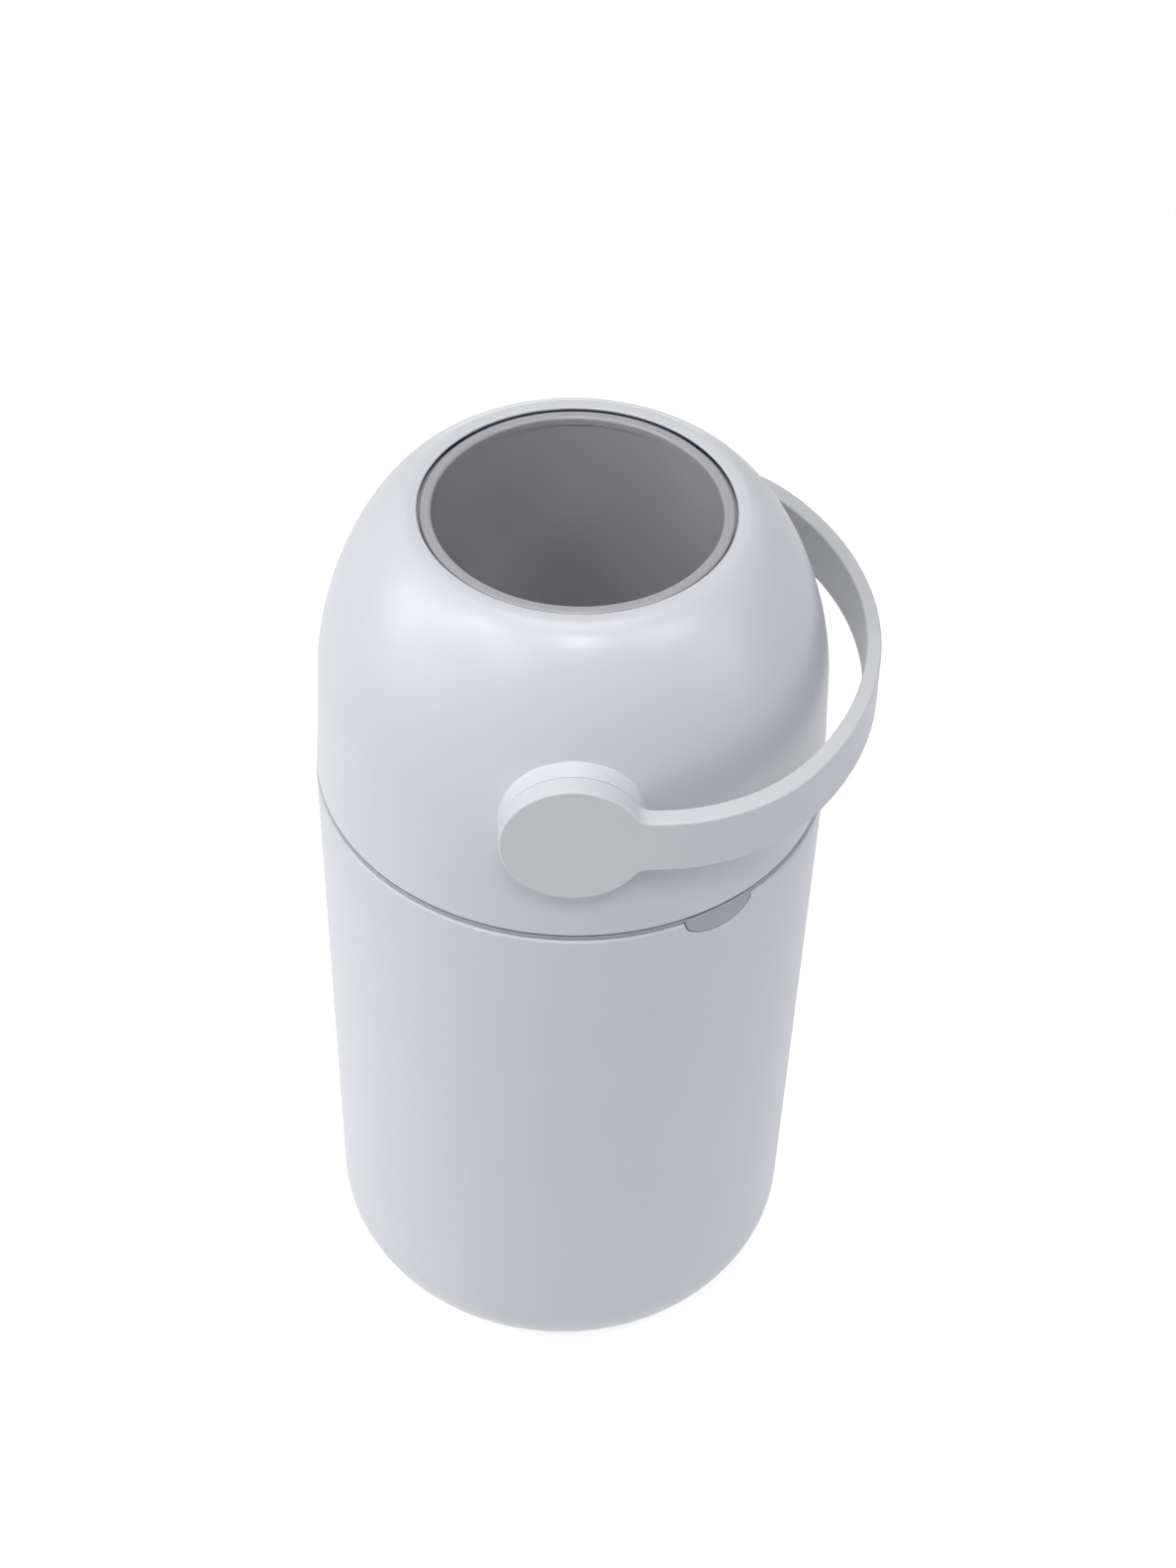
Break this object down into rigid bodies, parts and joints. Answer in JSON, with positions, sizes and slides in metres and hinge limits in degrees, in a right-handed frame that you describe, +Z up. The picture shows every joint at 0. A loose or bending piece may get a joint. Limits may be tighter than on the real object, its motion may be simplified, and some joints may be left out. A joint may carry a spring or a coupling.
{
  "type": "nappy bin",
  "caption": "Tapered round nappy bin with a dome lid, a bag ring with a pull tab, and a tube in the top that a swing handle turns over, so that a sliding piston empties it.",
  "frame": {"origin": "on the pail's axis at the floor, under the foot pad", "axes": "+Z up along the pail's axis; -Y points out through the front hub; +X towards the lowered handle"},
  "size_m": [0.272, 0.2692, 0.4945],
  "materials": {
    "shell": "fine satin, cool pale grey",
    "handle": "fine satin, pale grey",
    "ring": "satin mid grey",
    "tube": "satin mid grey",
    "drum": "satin pale grey",
    "inner": "satin grey",
    "rubber": "matt dark grey",
    "bush": "natural bearing plastic",
    "steel": "plain screws"
  },
  "bodies": {
    "pail": {"pail_body": "shell", "foot_pad": "rubber"},
    "ring": {"bag_ring": "ring"},
    "lid": {"dome_shell": "shell", "opening_seal": "rubber", "drum_carrier": "inner", "drum_wiper": "rubber", "lid_seal": "rubber", "carrier_screws": "steel", "bush_front": "bush", "bush_rear": "bush", "hub_washer_front": "bush", "hub_washer_rear": "bush"},
    "turner": {"handle_bail": "handle", "axle_front": "bush", "axle_rear": "bush", "axle_screws": "steel", "drum_upper": "drum", "drum_lower": "drum", "load_tube": "tube", "tube_lip": "tube"},
    "piston": {"piston": "inner", "piston_seal": "rubber"}
  },
  "joints": [
    {"name": "ring_lift", "type": "slide", "parent": "pail", "child": "ring", "axis": [0, 0, 1], "range_m": [0, 0.12]},
    {"name": "lid_lift", "type": "slide", "parent": "ring", "child": "lid", "axis": [0, 0, 1], "range_m": [0, 0.2]},
    {"name": "handle_turn", "type": "hinge", "parent": "lid", "child": "turner", "pos_m": [0, 0, 0.407], "axis": [0, -1, 0], "range_deg": [0, 180]},
    {"name": "piston_slide", "type": "slide", "parent": "turner", "child": "piston", "axis": [0, 0, 1], "range_m": [0, 0.1408]}
  ]
}
